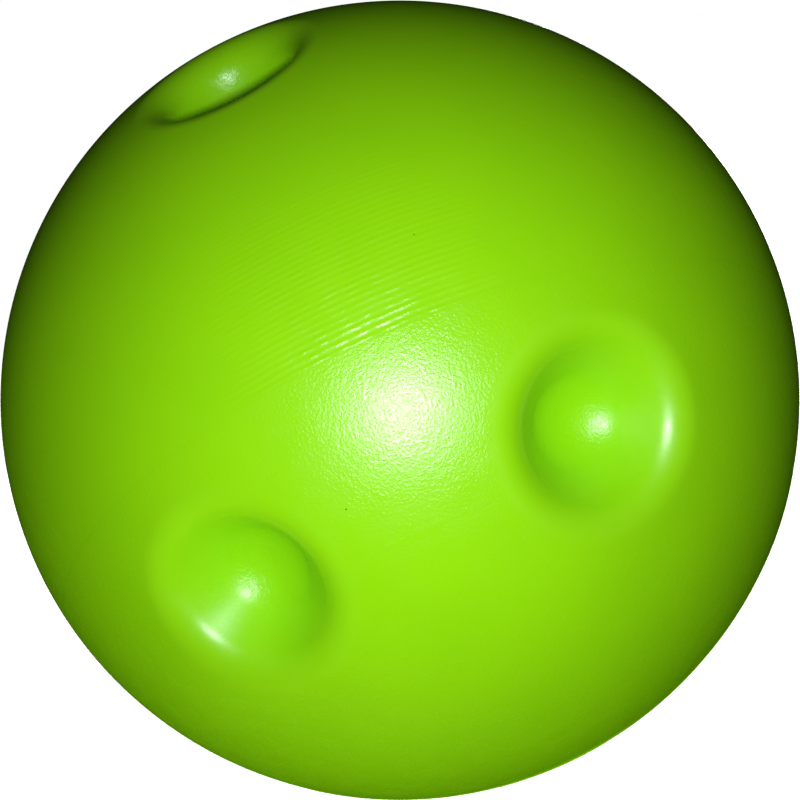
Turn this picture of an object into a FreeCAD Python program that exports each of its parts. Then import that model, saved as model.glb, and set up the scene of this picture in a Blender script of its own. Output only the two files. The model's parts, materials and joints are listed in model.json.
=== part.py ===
import FreeCAD, Part
import math
import os
from collections import namedtuple

# Toy bowling ball: a hollow blow-moulded shell with three grip cups, and the plug that closes its blow hole.
#
# Frame: origin at the ball's centre, +Z up. X = 0 is the plane of symmetry. The two finger cups lie on the
# horizontal great circle and face -Y, one on each side of that plane. The thumb cup is above them.

Vector = FreeCAD.Vector
CENTRE = Vector(0, 0, 0)

# Ball, in millimetres
ball_diameter = 120.0
wall = 2.2

# Grip cups: each has a round floor, a straight wall and a soft rounded rim
finger_spread_deg = 43.6
finger_cup_depth = 9.0
finger_nose_radius = 7.5
finger_wall_slope_deg = 49.0
finger_rim_radius = 4.4
thumb_rise_deg = 67.4
thumb_cup_depth = 10.6
thumb_nose_radius = 8.8
thumb_wall_slope_deg = 72.5
thumb_rim_radius = 4.2

# Parting line: the fine bead left where the two mould halves meet, tilted about X
mould_pull_rise_deg = 37.0
bead_wire_radius = 0.3
bead_stand = 0.08

# Blow hole, on the parting line behind the thumb cup, and its flush snap plug
blow_hole_diameter = 8.0
boss_diameter = 15.0
boss_thickness = 4.2
recess_diameter = 12.4
recess_depth = 1.6
plug_head_clearance = 0.15
plug_head_thickness = 1.45
barb_radius = 4.6
barb_length = 1.8
barb_lead_radius = 3.6
plug_core_radius = 2.6

ball_radius = ball_diameter / 2
overshoot = 2.0
touch_tolerance = 0.001
cup_reach_deg = 20.0


def direction(side_deg, rise_deg):
    """Unit vector turned from -Y by side_deg towards +X, then raised by rise_deg towards +Z."""
    side = math.radians(side_deg)
    rise = math.radians(rise_deg)
    return Vector(math.sin(side) * math.cos(rise), -math.cos(side) * math.cos(rise), math.sin(rise))


Cup = namedtuple("Cup", "axis depth nose_radius wall_slope_deg rim_radius")
FINGER_CUP_SIZES = (finger_cup_depth, finger_nose_radius, finger_wall_slope_deg, finger_rim_radius)
THUMB_CUP_SIZES = (thumb_cup_depth, thumb_nose_radius, thumb_wall_slope_deg, thumb_rim_radius)
CUPS = [
    Cup(direction(-finger_spread_deg / 2, 0), *FINGER_CUP_SIZES),
    Cup(direction(finger_spread_deg / 2, 0), *FINGER_CUP_SIZES),
    Cup(direction(0, thumb_rise_deg), *THUMB_CUP_SIZES),
]
MOULD_PULL = direction(0, mould_pull_rise_deg)
BLOW_HOLE_AXIS = direction(0, mould_pull_rise_deg + 90)


def turned(points):
    """Solid of revolution about Z, from its outline's (radius, height) points."""
    corners = [Vector(radius, 0, height) for radius, height in points]
    face = Part.Face(Part.makePolygon(corners + corners[:1]))
    return face.revolve(CENTRE, Vector(0, 0, 1), 360)


def aimed(solid, axis):
    """Turns a solid made about Z so that it lies about another axis through the centre."""
    placed = solid.copy()
    placed.Placement = FreeCAD.Placement(CENTRE, FreeCAD.Rotation(Vector(0, 0, 1), axis))
    return placed


def cup_cutter(cup, offset):
    """The hollow of one grip cup, its floor and wall moved outwards by offset."""
    nose_radius = cup.nose_radius + offset
    nose_centre = ball_radius - cup.depth + cup.nose_radius
    slope = math.radians(cup.wall_slope_deg)
    top = ball_radius + overshoot

    def on_nose(angle):
        return Vector(nose_radius * math.sin(angle), 0, nose_centre - nose_radius * math.cos(angle))

    wall_foot = on_nose(slope)
    wall_top = Vector(wall_foot.x + (top - wall_foot.z) / math.tan(slope), 0, top)
    floor = Part.Arc(on_nose(0), on_nose(slope / 2), wall_foot).toShape()
    rest = Part.makePolygon([wall_foot, wall_top, Vector(0, 0, top), on_nose(0)])
    hollow = Part.Face(Part.Wire([floor, *rest.Edges])).revolve(CENTRE, Vector(0, 0, 1), 360)
    return aimed(hollow, cup.axis)


def is_rim(edge, cup, sphere_radius):
    """True for the circle where a cup's wall meets the ball's sphere."""
    if edge.Degenerated or edge.Curve.TypeId != "Part::GeomCircle":
        return False
    start = edge.valueAt(edge.FirstParameter)
    on_sphere = abs(start.Length - sphere_radius) < touch_tolerance
    return on_sphere and math.degrees(start.getAngle(cup.axis)) < cup_reach_deg


def dimpled_ball(offset):
    """The ball with its three grip cups, moved inwards by offset all over."""
    radius = ball_radius - offset
    body = Part.makeSphere(radius)
    for cup in CUPS:
        body = body.cut(cup_cutter(cup, offset))
        rims = [edge for edge in body.Edges if is_rim(edge, cup, radius)]
        body = body.makeFillet(cup.rim_radius - offset, rims)
    return body


def parting_bead():
    """Thin ring whose outer edge stands just proud of the ball on the parting plane."""
    ring_radius = ball_radius + bead_stand - bead_wire_radius
    return Part.makeTorus(ring_radius, bead_wire_radius, CENTRE, MOULD_PULL)


def blow_hole_cutter():
    """The bore through the boss and the shallow recess for the plug's head."""
    bore = blow_hole_diameter / 2
    recess = recess_diameter / 2
    floor = ball_radius - recess_depth
    inside = ball_radius - boss_thickness - overshoot
    outside = ball_radius + overshoot
    profile = [(0, inside), (bore, inside), (bore, floor), (recess, floor), (recess, outside), (0, outside)]
    return aimed(turned(profile), BLOW_HOLE_AXIS)


def ball_shell():
    """One-piece blow-moulded shell, even in wall, with a thickened boss round its blow hole."""
    hollow = dimpled_ball(wall)
    boss_floor = ball_radius - boss_thickness
    boss_radius = boss_diameter / 2
    boss_profile = [(0, boss_floor), (boss_radius, boss_floor), (boss_radius, ball_radius), (0, ball_radius)]
    hollow = hollow.cut(aimed(turned(boss_profile), BLOW_HOLE_AXIS))
    body = dimpled_ball(0).fuse(parting_bead())
    return body.cut(hollow).cut(blow_hole_cutter())


def blow_plug():
    """Snap plug: a domed head flush with the ball, a hollow stem that fills the bore, and a barb behind it."""
    head = recess_diameter / 2 - plug_head_clearance
    stem = blow_hole_diameter / 2
    floor = ball_radius - recess_depth
    shoulder = ball_radius - boss_thickness
    tip = shoulder - barb_length
    core_top = ball_radius - plug_head_thickness
    profile = [
        (0, core_top),
        (plug_core_radius, core_top),
        (plug_core_radius, tip),
        (barb_lead_radius, tip),
        (barb_radius, shoulder),
        (stem, shoulder),
        (stem, floor),
        (head, floor),
        (head, ball_radius),
        (0, ball_radius),
    ]
    return aimed(turned(profile).common(Part.makeSphere(ball_radius)), BLOW_HOLE_AXIS)


def main():
    os.makedirs("parts", exist_ok=True)
    nodes = {"ball_shell": ball_shell(), "blow_plug": blow_plug()}
    for name, shape in nodes.items():
        shape.exportStep(f"parts/{name}.step")
        print(name, "valid", shape.isValid(), "solids", len(shape.Solids), "volume", round(shape.Volume, 1))


main()
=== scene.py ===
import json
import math

import bmesh
import bpy
import numpy as np
from mathutils import Matrix, Vector


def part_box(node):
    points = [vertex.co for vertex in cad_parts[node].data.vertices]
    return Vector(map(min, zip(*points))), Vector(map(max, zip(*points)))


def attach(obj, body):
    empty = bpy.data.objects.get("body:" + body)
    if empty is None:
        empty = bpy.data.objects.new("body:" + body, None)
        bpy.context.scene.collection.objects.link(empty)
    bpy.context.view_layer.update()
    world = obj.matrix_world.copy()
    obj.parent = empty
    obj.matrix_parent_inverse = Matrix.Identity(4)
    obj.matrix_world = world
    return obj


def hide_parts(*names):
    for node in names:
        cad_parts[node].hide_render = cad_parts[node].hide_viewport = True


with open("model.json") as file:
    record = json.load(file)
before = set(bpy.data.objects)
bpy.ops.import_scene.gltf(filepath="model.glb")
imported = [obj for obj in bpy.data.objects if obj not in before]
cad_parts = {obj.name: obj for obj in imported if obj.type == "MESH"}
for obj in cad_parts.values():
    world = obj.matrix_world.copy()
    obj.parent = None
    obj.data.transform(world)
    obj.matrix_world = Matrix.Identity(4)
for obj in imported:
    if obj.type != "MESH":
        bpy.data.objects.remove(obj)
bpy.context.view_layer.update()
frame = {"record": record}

MM = 0.001

# ---------------------------------------------------------------- sizes, from the frame

shell_low, shell_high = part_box("ball_shell")
RADIUS = (shell_high.z - shell_low.z) / 2
MOUNTS = {mount["name"]: mount for mount in frame["record"]["mounts"]}

# Each cup's floor radius, wall slope and rim radius; the floor, wall and rim are tangent to each other
FINGER_CUP = (7.5 * MM, math.radians(49.0), 4.4 * MM)
THUMB_CUP = (8.8 * MM, math.radians(72.5), 4.2 * MM)
CUPS = {"finger_grip_left": FINGER_CUP, "finger_grip_right": FINGER_CUP, "thumb_grip": THUMB_CUP}

# Mould: the parting plane is square to the pull, and the milling passes are square to the step
PULL_RISE = math.radians(37.0)
PULL = np.array([0.0, -math.cos(PULL_RISE), math.sin(PULL_RISE)])
STEP = np.array([0.0, math.sin(PULL_RISE), math.cos(PULL_RISE)])
ACROSS = np.array([1.0, 0.0, 0.0])

# Parting bead: a little uneven all round, and stronger along the pinch-off under the ball
BEAD_HEIGHT = 0.08 * MM
BEAD_HALF_WIDTH = 0.22 * MM
BEAD_UNEVEN_SHARE = 0.2
BEAD_WAVE = 3.1 * MM
PINCH_HALF_LENGTH = 10.0 * MM
PINCH_EXTRA_HEIGHT = 1.2
PINCH_EXTRA_WIDTH = 0.5

# Blow-hole recess and its plug, on the parting line
RECESS_RADIUS = 6.2 * MM
RECESS_DEPTH = 1.6 * MM
RECESS_EDGE = 0.25 * MM
BOSS_THICKNESS = 4.2 * MM
PLUG_RADIUS = 6.05 * MM
PLUG_EDGE = 0.35 * MM
PLUG_HEAD_THICKNESS = 1.45 * MM
STEM_RADIUS = 4.0 * MM
BARB_RADIUS = 4.6 * MM
BARB_LEAD_RADIUS = 3.6 * MM
BARB_LENGTH = 1.8 * MM
CORE_RADIUS = 2.6 * MM
GATE_RADIUS = 0.9 * MM
GATE_DEPTH = 0.12 * MM
GATE_CLEAR_RADIUS = 1.1 * MM

# Mesh density: cells along each side of the cube sphere, the finer zones round the cups' axes and along the
# recess's edge, and the rows beside the parting plane in bead half-widths
SPHERE_CELLS = 84
CUP_FINE_DEG = (17.0, 14.0)
RECESS_FINE_INSIDE = 0.8 * MM
RECESS_FINE_OUTSIDE = 2 * MM
RECESS_FINE_ROUNDS = 2
BEAD_ROWS = np.array([0.5, 1.0, 1.6, 2.6])
BEAD_ROWS_CLEAR = 1.3
CUP_ARC_STEPS = 200
RECESS_ARC_STEPS = 30
PLUG_SEGMENTS = 96


# ---------------------------------------------------------------- mesh helpers

def unit(v):
    v = np.asarray(v, float)
    return v / np.linalg.norm(v)


def new_object(name, mesh):
    """A smooth-shaded object for a mesh."""
    obj = bpy.data.objects.new(name, mesh)
    bpy.context.scene.collection.objects.link(obj)
    mesh.polygons.foreach_set("use_smooth", [True] * len(mesh.polygons))
    return obj


def grid_angles(count, crowded):
    """Angles from -45 to 45 degrees for one face of the cube sphere, with extra ones crowded about 0."""
    angles = np.linspace(-math.pi / 4, math.pi / 4, count + 1)
    if not crowded:
        return angles
    near = BEAD_ROWS * BEAD_HALF_WIDTH / RADIUS
    keep = angles[np.abs(angles) > near[-1] * BEAD_ROWS_CLEAR]
    return np.sort(np.concatenate([keep, near, -near, [0.0]]))


def cube_sphere(count):
    """Unit directions and quads of a cube sphere, with rows crowded along the parting plane."""
    plain = np.tan(grid_angles(count, False))
    crowded = np.tan(grid_angles(count, True))
    sides = []
    for normal, along, up, rows in (
        (ACROSS, STEP, PULL, crowded),
        (-ACROSS, -STEP, PULL, crowded),
        (STEP, -ACROSS, PULL, crowded),
        (-STEP, ACROSS, PULL, crowded),
        (PULL, ACROSS, STEP, plain),
        (-PULL, -ACROSS, STEP, plain),
    ):
        across = plain[None, :, None] * along[None, None, :]
        upward = rows[:, None, None] * up[None, None, :]
        sides.append(normal + across + upward)
    points, quads, offset = [], [], 0
    for side in sides:
        rows, columns = side.shape[:2]
        index = np.arange(rows * columns).reshape(rows, columns) + offset
        corners = (index[:-1, :-1], index[:-1, 1:], index[1:, 1:], index[1:, :-1])
        quads.append(np.stack([c.ravel() for c in corners], 1))
        points.append(side.reshape(-1, 3))
        offset += rows * columns
    points = np.concatenate(points)
    return points / np.linalg.norm(points, axis=1, keepdims=True), np.concatenate(quads)


def refine(bm, wanted):
    """Splits every face whose middle direction is wanted into four."""
    edges = set()
    for face in bm.faces:
        if wanted(unit(face.calc_center_median())):
            edges.update(face.edges)
    bmesh.ops.subdivide_edges(bm, edges=list(edges), cuts=1, use_grid_fill=True)
    for vert in bm.verts:
        vert.co.normalize()


# ---------------------------------------------------------------- the shell

def arc(centre, radius, start, end, steps):
    """Points on an arc in the (radius, height) plane, from one angle to another."""
    angles = np.linspace(start, end, steps)
    return np.stack([centre[0] + radius * np.cos(angles), centre[1] + radius * np.sin(angles)], 1)


def cup_profile(depth, nose_radius, slope, rim_radius):
    """(radius, height) points from the middle of a cup's floor out to where its rim meets the ball."""
    centre = RADIUS - depth + nose_radius
    outward = np.array([math.sin(slope), -math.cos(slope)])
    upward = np.array([math.cos(slope), math.sin(slope)])
    below_rim = np.array([0, centre]) + (nose_radius + rim_radius) * outward
    half = below_rim @ upward
    wall_length = -half + math.sqrt(half ** 2 - below_rim @ below_rim + (RADIUS - rim_radius) ** 2)
    rim = below_rim + wall_length * upward
    floor = arc((0, centre), nose_radius, -math.pi / 2, slope - math.pi / 2, CUP_ARC_STEPS)
    rounding = arc(rim, rim_radius, slope + math.pi / 2, math.atan2(rim[1], rim[0]), CUP_ARC_STEPS)
    return np.concatenate([floor, rounding])


def recess_profile():
    """(radius, height) points of the plug's recess, from its middle out to its rounded edge."""
    floor = RADIUS - RECESS_DEPTH
    centre = RECESS_RADIUS + RECESS_EDGE
    height = math.sqrt((RADIUS - RECESS_EDGE) ** 2 - centre ** 2)
    edge = arc((centre, height), RECESS_EDGE, math.pi, math.atan2(height, centre), RECESS_ARC_STEPS)
    return np.concatenate([[(0, floor), (RECESS_RADIUS, floor)], edge])


def fold_in(directions, positions, axis, profile):
    """Moves the points round an axis onto a turned profile, spread evenly along its length."""
    steps = np.linalg.norm(np.diff(profile, axis=0), axis=1)
    length = np.concatenate([[0.0], np.cumsum(steps)])
    edge = math.atan2(*profile[-1])
    along = directions @ axis
    near = along > math.cos(edge)
    share = np.arccos(np.clip(along[near], -1, 1)) / edge * length[-1]
    out = directions[near] - along[near, None] * axis
    out /= np.maximum(np.linalg.norm(out, axis=1, keepdims=True), 1e-12)
    radius = np.interp(share, length, profile[:, 0])
    height = np.interp(share, length, profile[:, 1])
    positions[near] = radius[:, None] * out + height[:, None] * axis


def bead_lift(directions):
    """Height of the parting bead at each direction, thicker along the pinch-off under the ball."""
    off_plane = np.abs(directions @ PULL) * RADIUS
    along = (directions @ ACROSS) * RADIUS
    under = (directions @ STEP) < 0
    pinch = np.exp(-((along / PINCH_HALF_LENGTH) ** 4)) * under
    uneven = BEAD_UNEVEN_SHARE * np.sin(along / BEAD_WAVE)
    height = BEAD_HEIGHT * (1 + PINCH_EXTRA_HEIGHT * pinch + uneven)
    half_width = BEAD_HALF_WIDTH * (1 + PINCH_EXTRA_WIDTH * pinch)
    return height * np.clip(1 - (off_plane / half_width) ** 2, 0, 1)


def refined_sphere(axes):
    """The cube sphere as a mesh, finer round the cups and along the recess's edge."""
    directions, quads = cube_sphere(SPHERE_CELLS)
    mesh = bpy.data.meshes.new("shell_skin")
    mesh.from_pydata(directions.tolist(), [], quads.tolist())
    bm = bmesh.new()
    bm.from_mesh(mesh)
    bmesh.ops.remove_doubles(bm, verts=bm.verts, dist=1e-7)
    for reach_deg in CUP_FINE_DEG:
        reach = math.cos(math.radians(reach_deg))
        refine(bm, lambda d: max(d @ a for a in axes) > reach)
    outside = math.cos((RECESS_RADIUS + RECESS_FINE_OUTSIDE) / RADIUS)
    inside = math.cos((RECESS_RADIUS - RECESS_FINE_INSIDE) / RADIUS)
    for _ in range(RECESS_FINE_ROUNDS):
        refine(bm, lambda d: inside > d @ STEP > outside)
    bm.to_mesh(mesh)
    bm.free()
    return mesh


def vertex_directions(mesh):
    """Unit directions of a mesh's vertices from the centre."""
    directions = np.zeros(len(mesh.vertices) * 3)
    mesh.vertices.foreach_get("co", directions)
    directions = directions.reshape(-1, 3)
    return directions / np.linalg.norm(directions, axis=1, keepdims=True)


def shell_mesh():
    """The ball's outer skin: a sphere with its parting bead, folded into the cups and the recess."""
    axes = {name: unit(MOUNTS[name]["axis"]) for name in CUPS}
    mesh = refined_sphere(list(axes.values()))
    directions = vertex_directions(mesh)
    positions = directions * (RADIUS + bead_lift(directions))[:, None]
    for name, axis in axes.items():
        depth = RADIUS - Vector(MOUNTS[name]["pos_m"]).length
        fold_in(directions, positions, axis, cup_profile(depth, *CUPS[name]))
    fold_in(directions, positions, STEP, recess_profile())
    mesh.vertices.foreach_set("co", positions.ravel())
    mesh.update()
    return mesh


# ---------------------------------------------------------------- the plug

def turned_mesh(name, profile, segments):
    """A closed mesh turned about Z from (radius, height) points whose two ends lie on the axis."""
    bm = bmesh.new()
    top = bm.verts.new((0, 0, profile[0][1]))
    rings = []
    for radius, height in profile[1:-1]:
        ring = []
        for k in range(segments):
            angle = 2 * math.pi * k / segments
            ring.append(bm.verts.new((radius * math.cos(angle), radius * math.sin(angle), height)))
        rings.append(ring)
    bottom = bm.verts.new((0, 0, profile[-1][1]))
    for k in range(segments):
        j = (k + 1) % segments
        bm.faces.new((top, rings[0][k], rings[0][j]))
        bm.faces.new((bottom, rings[-1][j], rings[-1][k]))
        for upper, lower in zip(rings, rings[1:]):
            bm.faces.new((upper[k], lower[k], lower[j], upper[j]))
    mesh = bpy.data.meshes.new(name)
    bm.to_mesh(mesh)
    bm.free()
    return mesh


def dome_height(radius):
    """Height of the ball's surface at a distance from the plug's axis."""
    return math.sqrt(RADIUS ** 2 - radius ** 2)


def plug_mesh():
    """Snap plug: domed head with a rounded edge and a small gate dimple, stem, barb and hollow core."""
    dimple = [
        (GATE_RADIUS * k / 6, -GATE_DEPTH * (1 + math.cos(math.pi * k / 6)) / 2)
        for k in range(7)
    ]
    crown = [(r, dome_height(r) + dip) for r, dip in dimple]
    edge_radius = PLUG_RADIUS - PLUG_EDGE
    crown += [(r, dome_height(r)) for r in np.linspace(GATE_CLEAR_RADIUS, edge_radius, 12)]
    edge_height = dome_height(edge_radius) - PLUG_EDGE
    edge = [tuple(p) for p in arc((edge_radius, edge_height), PLUG_EDGE, math.pi / 2, 0, 8)[1:]]
    floor = RADIUS - RECESS_DEPTH
    shoulder = RADIUS - BOSS_THICKNESS
    tip = shoulder - BARB_LENGTH
    core_top = RADIUS - PLUG_HEAD_THICKNESS
    below = [
        (PLUG_RADIUS, floor),
        (STEM_RADIUS, floor),
        (STEM_RADIUS, shoulder),
        (BARB_RADIUS, shoulder),
        (BARB_LEAD_RADIUS, tip),
        (CORE_RADIUS, tip),
        (CORE_RADIUS, core_top),
        (0, core_top),
    ]
    mesh = turned_mesh("plug", crown + edge + below, PLUG_SEGMENTS)
    turn = Vector((0, 0, 1)).rotation_difference(Vector(STEP)).to_matrix().to_4x4()
    mesh.transform(turn)
    return mesh


# ---------------------------------------------------------------- materials

class Nodes:
    """Short calls for building one material's nodes."""

    def __init__(self, name):
        self.material = bpy.data.materials.new(name)
        self.material.use_nodes = True
        self.tree = self.material.node_tree
        self.shader = self.tree.nodes["Principled BSDF"]

    def add(self, kind, **settings):
        node = self.tree.nodes.new(kind)
        for key, value in settings.items():
            setattr(node, key, value)
        return node

    def feed(self, socket, value):
        if isinstance(value, bpy.types.NodeSocket):
            self.tree.links.new(value, socket)
        else:
            socket.default_value = value

    def math(self, operation, *values):
        node = self.add("ShaderNodeMath", operation=operation)
        for socket, value in zip(node.inputs, values):
            self.feed(socket, value)
        return node.outputs[0]

    def position(self):
        return self.add("ShaderNodeTexCoord").outputs["Object"]

    def along(self, point, direction):
        """Distance of a point along a direction, in millimetres."""
        node = self.add("ShaderNodeVectorMath", operation="DOT_PRODUCT")
        self.feed(node.inputs[0], point)
        node.inputs[1].default_value = [float(c) / MM for c in direction]
        return node.outputs["Value"]

    def noise(self, point, size_mm, detail=2.0, roughness=0.5):
        """Noise whose features are about size_mm across, from 0 to 1."""
        node = self.add("ShaderNodeTexNoise")
        self.feed(node.inputs["Vector"], point)
        node.inputs["Scale"].default_value = 1 / (size_mm * MM)
        node.inputs["Detail"].default_value = detail
        node.inputs["Roughness"].default_value = roughness
        return node.outputs["Fac"]

    def noise_1d(self, value, size):
        """Noise along one number, from 0 to 1, with features about size across."""
        node = self.add("ShaderNodeTexNoise", noise_dimensions="1D")
        self.feed(node.inputs["W"], value)
        node.inputs["Scale"].default_value = 1 / size
        node.inputs["Detail"].default_value = 1.0
        return node.outputs["Fac"]

    def channel(self, color):
        """The red part of a colour."""
        node = self.add("ShaderNodeSeparateColor")
        self.feed(node.inputs[0], color)
        return node.outputs[0]

    def remap(self, value, low, high, to_low=0.0, to_high=1.0):
        """A smooth step from to_low to to_high as the value goes from low to high."""
        node = self.add("ShaderNodeMapRange", interpolation_type="SMOOTHSTEP")
        for socket, number in zip(node.inputs, (value, low, high, to_low, to_high)):
            self.feed(socket, number)
        return node.outputs["Result"]

    def bump(self, height, depth_mm, normal=None):
        """The normal of a relief depth_mm high, on top of another relief's normal if one is given."""
        node = self.add("ShaderNodeBump")
        node.inputs["Strength"].default_value = 1.0
        node.inputs["Distance"].default_value = depth_mm * MM
        self.feed(node.inputs["Height"], height)
        if normal is not None:
            self.feed(node.inputs["Normal"], normal)
        return node.outputs["Normal"]

    def gloss_skin(self, normal):
        """A clear glossy skin that carries the fine relief over a body colour that scatters under it."""
        self.shader.inputs["Specular IOR Level"].default_value = 0.0
        self.shader.inputs["Coat Weight"].default_value = 1.0
        self.shader.inputs["Coat IOR"].default_value = SKIN_IOR
        self.feed(self.shader.inputs["Coat Normal"], normal)

    def mix_color(self, share, first, second):
        node = self.add("ShaderNodeMix", data_type="RGBA")
        self.feed(node.inputs["Factor"], share)
        self.feed(node.inputs["A"], first)
        self.feed(node.inputs["B"], second)
        return node.outputs["Result"]


# Colours and gloss
LIME = (0.365, 0.86, 0.003, 1.0)
LIME_DEEP = (0.352, 0.84, 0.003, 1.0)
SPECK = (0.08, 0.2, 0.003, 1.0)
SKIN_IOR = 1.64
SHELL_ROUGHNESS = (0.246, 0.296)
PLUG_ROUGHNESS = (0.3, 0.38)
RIM_ROUGHER = 0.3
FLOOR_ROUGHER = 0.14

# Relief: orange peel, the cup floors' dimples and the tool lines; the skin's gloss shows more than the body
PEEL_SIZE_MM = 0.35
PEEL_DEPTH_MM = 0.064
BODY_PEEL_DEPTH_MM = 0.02
PLUG_PEEL_SIZE_MM = 0.4
PLUG_PEEL_DEPTH_MM = 0.015
DIMPLE_SIZE_MM = 1.1
DIMPLE_DEPTH_MM = 0.07
LINE_DEPTH_MM = 0.017
BODY_LINE_DEPTH_MM = 0.018
RIM_PEEL_LOST = 0.88
RIDGE_PEEL = 1.1
FLOOR_PEEL = 0.7

# Where the milled zone, its passes and the witness line lie, as distances along STEP and ACROSS
MILLED_FROM_MM = -17.8
MILLED_EDGE_MM = 0.3
PASS_PITCH_MM = 0.73
STRONG_PASSES_MM = 2.3
FADE_MM = 26.0
PASSES_MIDDLE_MM = 3.5
PASSES_REACH_MM = (6.0, 21.0)
WITNESS_LINE_MM = -36.3
WITNESS_HALF_WIDTH_MM = 0.4
WITNESS_REACH_MM = (4.0, 7.5)
SPECK_CELL_MM = 9.0
SPECK_RADIUS_SHARE = 0.011
SPECK_CHANCE = 0.4

# Angles from a cup's axis where its floor and its rim end, and half the width of that change
FLOOR_EDGE_DEG = {"finger_grip_left": 5.4, "finger_grip_right": 5.4, "thumb_grip": 9.6}
RIM_EDGE_DEG = 12.8
EDGE_SOFT_DEG = 0.8


def cup_shares(n, point):
    """Two masks: the cups' rounded rims, and the cups' floors."""
    direction = n.add("ShaderNodeVectorMath", operation="NORMALIZE")
    n.feed(direction.inputs[0], point)
    within_rim, within_floor = 0.0, 0.0
    for name, floor_edge in FLOOR_EDGE_DEG.items():
        cosine = n.math("MULTIPLY", n.along(direction.outputs[0], unit(MOUNTS[name]["axis"])), MM)
        angle = n.math("MULTIPLY", n.math("ARCCOSINE", cosine), 180 / math.pi)
        inside_rim = n.remap(angle, RIM_EDGE_DEG - EDGE_SOFT_DEG, RIM_EDGE_DEG + EDGE_SOFT_DEG, 1.0, 0.0)
        inside_floor = n.remap(angle, floor_edge - EDGE_SOFT_DEG, floor_edge + EDGE_SOFT_DEG, 1.0, 0.0)
        within_rim = n.math("ADD", inside_rim, within_rim)
        within_floor = n.math("ADD", inside_floor, within_floor)
    return n.math("SUBTRACT", within_rim, within_floor), within_floor


def distance_across(n, point, middle_mm):
    """Sideways distance from the line ACROSS = middle_mm, in millimetres."""
    return n.math("ABSOLUTE", n.math("SUBTRACT", n.along(point, ACROSS), middle_mm))


def pass_ridges(n, point, step):
    """Milling passes as broken ridges: three strong ones at the zone's edge, then fading away from it."""
    wobble = n.math("MULTIPLY", n.noise(point, 9.0), 0.35)
    above = n.math("SUBTRACT", n.math("ADD", step, wobble), MILLED_FROM_MM)
    turn = n.math("MULTIPLY", above, 2 * math.pi / PASS_PITCH_MM)
    wave = n.math("MULTIPLY_ADD", n.math("COSINE", turn), -0.5, 0.5)
    strong = n.remap(above, STRONG_PASSES_MM, STRONG_PASSES_MM + 0.4, 0.8, 0.0)
    weak = n.math("MULTIPLY", n.remap(above, 0.0, FADE_MM, 1.45, 0.0), n.noise_1d(above, 1.3))
    level = n.math("MAXIMUM", strong, weak)
    broken = n.remap(n.noise(point, 1.6, detail=3.0), 0.35, 0.62, 0.3, 1.0)
    beside = n.remap(distance_across(n, point, PASSES_MIDDLE_MM), *PASSES_REACH_MM, 1.0, 0.0)
    return n.math("MULTIPLY", n.math("MULTIPLY", wave, level), n.math("MULTIPLY", broken, beside))


def witness_line(n, point, step):
    """The short faint line below the milled zone."""
    off_line = n.math("ABSOLUTE", n.math("SUBTRACT", step, WITNESS_LINE_MM))
    line = n.remap(off_line, 0.0, WITNESS_HALF_WIDTH_MM, 1.0, 0.0)
    return n.math("MULTIPLY", line, n.remap(distance_across(n, point, 0.0), *WITNESS_REACH_MM, 1.0, 0.0))


def specks(n, point):
    """Sparse tiny dark inclusions."""
    cells = n.add("ShaderNodeTexVoronoi")
    n.feed(cells.inputs["Vector"], point)
    cells.inputs["Scale"].default_value = 1 / (SPECK_CELL_MM * MM)
    chosen = n.math("LESS_THAN", n.channel(cells.outputs["Color"]), SPECK_CHANCE)
    return n.math("MULTIPLY", n.math("LESS_THAN", cells.outputs["Distance"], SPECK_RADIUS_SHARE), chosen)


def lime_shell_material():
    """Glossy polyethylene: orange peel below the milled zone's edge, fine milling passes above it."""
    n = Nodes("lime_shell_plastic")
    point = n.position()
    step = n.along(point, STEP)
    milled = n.remap(step, MILLED_FROM_MM - MILLED_EDGE_MM, MILLED_FROM_MM + MILLED_EDGE_MM)
    ridges = n.math("MULTIPLY", pass_ridges(n, point, step), milled)
    rims, floors = cup_shares(n, point)
    smooth = n.math("MAXIMUM", milled, n.math("MULTIPLY", rims, RIM_PEEL_LOST))
    open_peel = n.math("MULTIPLY_ADD", ridges, RIDGE_PEEL, n.math("SUBTRACT", 1.0, smooth))
    textured = n.math("MAXIMUM", open_peel, n.math("MULTIPLY", floors, FLOOR_PEEL))
    tone = n.remap(n.noise(point, 14.0), 0.35, 0.65)
    lime = n.mix_color(tone, LIME, LIME_DEEP)
    n.feed(n.shader.inputs["Base Color"], n.mix_color(specks(n, point), lime, SPECK))
    peel = n.math("MULTIPLY", n.noise(point, PEEL_SIZE_MM, detail=3.0, roughness=0.6), textured)
    dimples = n.math("MULTIPLY", n.noise(point, DIMPLE_SIZE_MM, detail=1.0), floors)
    lines = n.math("MULTIPLY_ADD", witness_line(n, point, step), 0.5, ridges)
    dimpled = n.bump(dimples, DIMPLE_DEPTH_MM, n.bump(peel, PEEL_DEPTH_MM))
    n.gloss_skin(n.bump(lines, LINE_DEPTH_MM, dimpled))
    rougher = n.math("MULTIPLY_ADD", rims, RIM_ROUGHER, n.math("MULTIPLY_ADD", floors, FLOOR_ROUGHER, 1.0))
    roughness = n.remap(n.noise(point, 3.0), 0.3, 0.7, *SHELL_ROUGHNESS)
    n.feed(n.shader.inputs["Coat Roughness"], n.math("MULTIPLY", roughness, rougher))
    n.feed(n.shader.inputs["Normal"], n.bump(lines, BODY_LINE_DEPTH_MM, n.bump(peel, BODY_PEEL_DEPTH_MM)))
    return n.material


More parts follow.
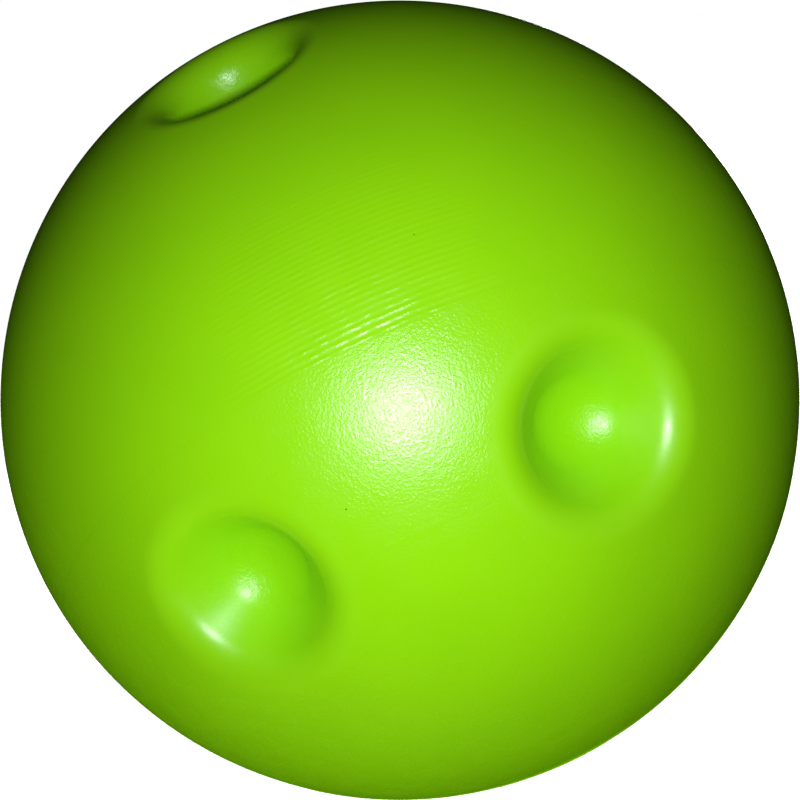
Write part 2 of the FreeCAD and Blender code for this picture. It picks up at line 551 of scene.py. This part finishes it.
def lime_plug_material():
    """The plug's plastic: the same lime, smoother and a little duller."""
    n = Nodes("lime_plug_plastic")
    point = n.position()
    tone = n.remap(n.noise(point, 5.0), 0.35, 0.65)
    n.feed(n.shader.inputs["Base Color"], n.mix_color(tone, LIME_DEEP, LIME))
    n.gloss_skin(n.bump(n.noise(point, PLUG_PEEL_SIZE_MM), PLUG_PEEL_DEPTH_MM))
    n.feed(n.shader.inputs["Coat Roughness"], n.remap(n.noise(point, 1.5), 0.3, 0.7, *PLUG_ROUGHNESS))
    return n.material


FLOOR_PALE = (0.86, 0.86, 0.85, 1)
FLOOR_DEEPER = (0.83, 0.83, 0.82, 1)


def floor_material():
    """Pale, matt floor."""
    n = Nodes("pale_floor")
    point = n.position()
    tone = n.remap(n.noise(point, 60.0), 0.3, 0.7)
    n.feed(n.shader.inputs["Base Color"], n.mix_color(tone, FLOOR_PALE, FLOOR_DEEPER))
    n.shader.inputs["Roughness"].default_value = 0.7
    return n.material


# ---------------------------------------------------------------- pieces

def make_shell():
    shell = new_object("shell_skin", shell_mesh())
    shell.data.materials.append(lime_shell_material())
    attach(shell, "root")
    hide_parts("ball_shell")


def make_plug():
    plug = new_object("plug_head", plug_mesh())
    plug.data.materials.append(lime_plug_material())
    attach(plug, "root")
    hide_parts("blow_plug")


# ---------------------------------------------------------------- stage, camera and light

CAMERA_AZIMUTH = math.radians(3.45)
CAMERA_RISE = math.radians(12.79)
CAMERA_ROLL = math.radians(26.50)
CAMERA_DISTANCE = 2.9 * RADIUS
SENSOR_WIDTH = 36.0
LIMB_TO_FRAME = 1.001
CAMERA_CLIP = 0.01

# Flash beside the lens: its place in ball radii to the camera's right and up, and behind it
FLASH_RIGHT = 0.04
FLASH_UP = -0.09
FLASH_BEHIND = 1.01
FLASH_SIZE = 0.012
FLASH_WATTS = 0.14
FLASH_COLOR = (0.9, 1.0, 1.0)

# Two soft lamps behind the ball
REAR_SPREAD = math.radians(12)
REAR_HEIGHT = 0.04
REAR_DISTANCE = 0.7
REAR_SIZE = 0.16
REAR_WATTS = 2.6

# Light bounced up from below, in the camera's up, right and backward directions
BOUNCE_FROM = (-0.966, -0.153, -0.208)
BOUNCE_STRENGTH = 1.5
BOUNCE_ANGLE_DEG = 60
BOUNCE_COLOR = (0.85, 1.0, 0.1)

ROOM_LEVEL = 0.042
FLOOR_RADIUS = 3.0
DAYLIGHT_STRENGTH = 4.2
DAYLIGHT_ANGLE_DEG = 20


def camera_axes():
    """The camera's right, up and backward directions in the row frame."""
    back = Vector((
        math.sin(CAMERA_AZIMUTH) * math.cos(CAMERA_RISE),
        -math.cos(CAMERA_AZIMUTH) * math.cos(CAMERA_RISE),
        math.sin(CAMERA_RISE),
    ))
    level_right = Vector((0, 0, 1)).cross(back).normalized()
    level_up = back.cross(level_right)
    up = math.cos(CAMERA_ROLL) * level_up + math.sin(CAMERA_ROLL) * level_right
    return up.cross(back), up, back


def add_camera():
    right, up, back = camera_axes()
    data = bpy.data.cameras.new("camera")
    half_view = math.tan(math.asin(RADIUS / CAMERA_DISTANCE)) * LIMB_TO_FRAME
    data.sensor_width = SENSOR_WIDTH
    data.lens = SENSOR_WIDTH / 2 / half_view
    data.clip_start = CAMERA_CLIP
    camera = bpy.data.objects.new("camera", data)
    camera.matrix_world = Matrix((right, up, back)).transposed().to_4x4()
    camera.location = back * CAMERA_DISTANCE
    bpy.context.scene.collection.objects.link(camera)
    bpy.context.scene.camera = camera


def aim(obj, target):
    """Turns a light so that it shines at a point."""
    obj.rotation_mode = "QUATERNION"
    obj.rotation_quaternion = (target - obj.location).to_track_quat("-Z", "Y")


def add_area_light(name, location, target, size, watts, color=(1, 1, 1)):
    """A round lamp that the camera doesn't see."""
    data = bpy.data.lights.new(name, "AREA")
    data.shape = "DISK"
    data.size = size
    data.energy = watts
    data.color = color
    light = bpy.data.objects.new(name, data)
    light.location = location
    aim(light, target)
    light.visible_camera = False
    bpy.context.scene.collection.objects.link(light)


def add_sun(name, direction, strength, angle_deg):
    """Parallel soft light that arrives from a direction."""
    data = bpy.data.lights.new(name, "SUN")
    data.energy = strength
    data.angle = math.radians(angle_deg)
    light = bpy.data.objects.new(name, data)
    light.location = Vector(direction).normalized()
    aim(light, Vector((0, 0, 0)))
    bpy.context.scene.collection.objects.link(light)
    return light


def add_lights():
    """A small flash beside the lens, two soft lamps behind the ball, and light bounced up from below."""
    right, up, back = camera_axes()
    middle = Vector((0, 0, 0))
    flash = back * CAMERA_DISTANCE * FLASH_BEHIND + (right * FLASH_RIGHT + up * FLASH_UP) * RADIUS
    add_area_light("flash", flash, middle, FLASH_SIZE, FLASH_WATTS, FLASH_COLOR)
    for side in (-1, 1):
        place = Vector((side * math.sin(REAR_SPREAD), math.cos(REAR_SPREAD), REAR_HEIGHT)) * REAR_DISTANCE
        add_area_light(f"rear_soft_{side + 1}", place, middle, REAR_SIZE, REAR_WATTS)
    bounce_from = sum((part * axis for part, axis in zip(BOUNCE_FROM, (up, right, back))), Vector())
    bounce = add_sun("floor_bounce", bounce_from, BOUNCE_STRENGTH, BOUNCE_ANGLE_DEG)
    bounce.data.color = BOUNCE_COLOR
    bounce.visible_glossy = False


def add_world():
    """Dim room light on the ball, and a white background behind it."""
    world = bpy.data.worlds.new("room")
    bpy.context.scene.world = world
    world.use_nodes = True
    tree = world.node_tree
    path = tree.nodes.new("ShaderNodeLightPath")
    room = tree.nodes["Background"]
    room.inputs["Color"].default_value = (1, 1, 1, 1)
    level = tree.nodes.new("ShaderNodeMath")
    level.operation = "MULTIPLY_ADD"
    level.inputs[1].default_value = ROOM_LEVEL
    tree.links.new(path.outputs["Is Diffuse Ray"], level.inputs[0])
    tree.links.new(path.outputs["Is Camera Ray"], level.inputs[2])
    tree.links.new(level.outputs[0], room.inputs["Strength"])


def add_floor():
    """A pale floor with daylight of its own; neither takes part in the ball's shading."""
    mesh = bpy.data.meshes.new("floor")
    bm = bmesh.new()
    bmesh.ops.create_circle(bm, cap_ends=True, radius=FLOOR_RADIUS, segments=96)
    bm.to_mesh(mesh)
    bm.free()
    floor = bpy.data.objects.new("floor", mesh)
    floor.location.z = shell_low.z
    mesh.materials.append(floor_material())
    floor.visible_diffuse = False
    floor.visible_glossy = False
    floor.visible_shadow = False
    bpy.context.scene.collection.objects.link(floor)
    daylight = add_sun("floor_daylight", (0, 0, 1), DAYLIGHT_STRENGTH, DAYLIGHT_ANGLE_DEG)
    floor_only = bpy.data.collections.new("floor_only")
    floor_only.objects.link(floor)
    daylight.light_linking.receiver_collection = floor_only
    daylight.light_linking.blocker_collection = floor_only


make_shell()
make_plug()
add_camera()
add_lights()
add_world()
add_floor()
bpy.context.scene.view_settings.view_transform = "Standard"
